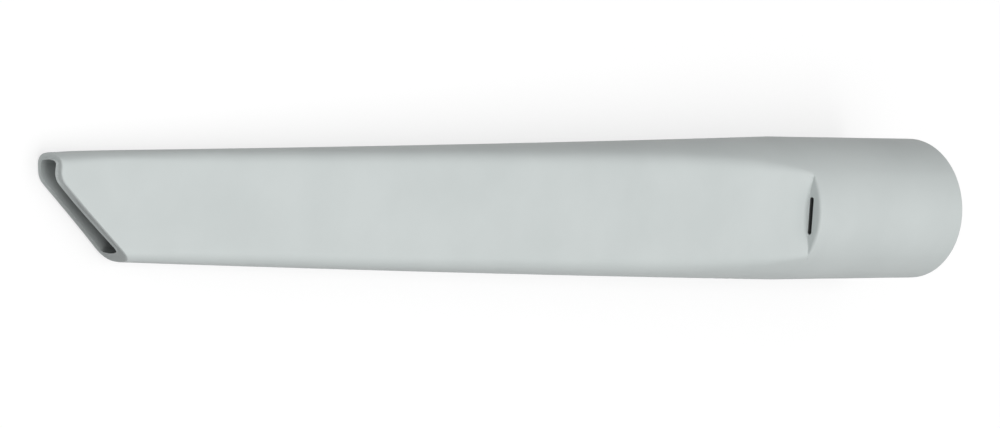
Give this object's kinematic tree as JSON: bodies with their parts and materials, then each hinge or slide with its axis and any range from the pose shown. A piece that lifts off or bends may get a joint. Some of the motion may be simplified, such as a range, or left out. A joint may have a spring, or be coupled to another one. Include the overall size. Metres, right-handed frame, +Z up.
{
  "type": "vacuum crevice nozzle",
  "caption": "Moulded rubber vacuum crevice nozzle: round tube socket, long flat-sided taper, slanted narrow mouth and an air bleed slot at the step.",
  "frame": {"origin": "middle of the nozzle's box, on the surface that it lies on", "axes": "+X towards the socket, +Y towards the longer side of the slanted mouth, +Z up, out of the flat with the bleed slot"},
  "size_m": [0.3018, 0.0386, 0.0419],
  "materials": {
    "grey_rubber": "matte, light grey"
  },
  "bodies": {
    "root": {"nozzle": "grey_rubber"}
  },
  "joints": []
}
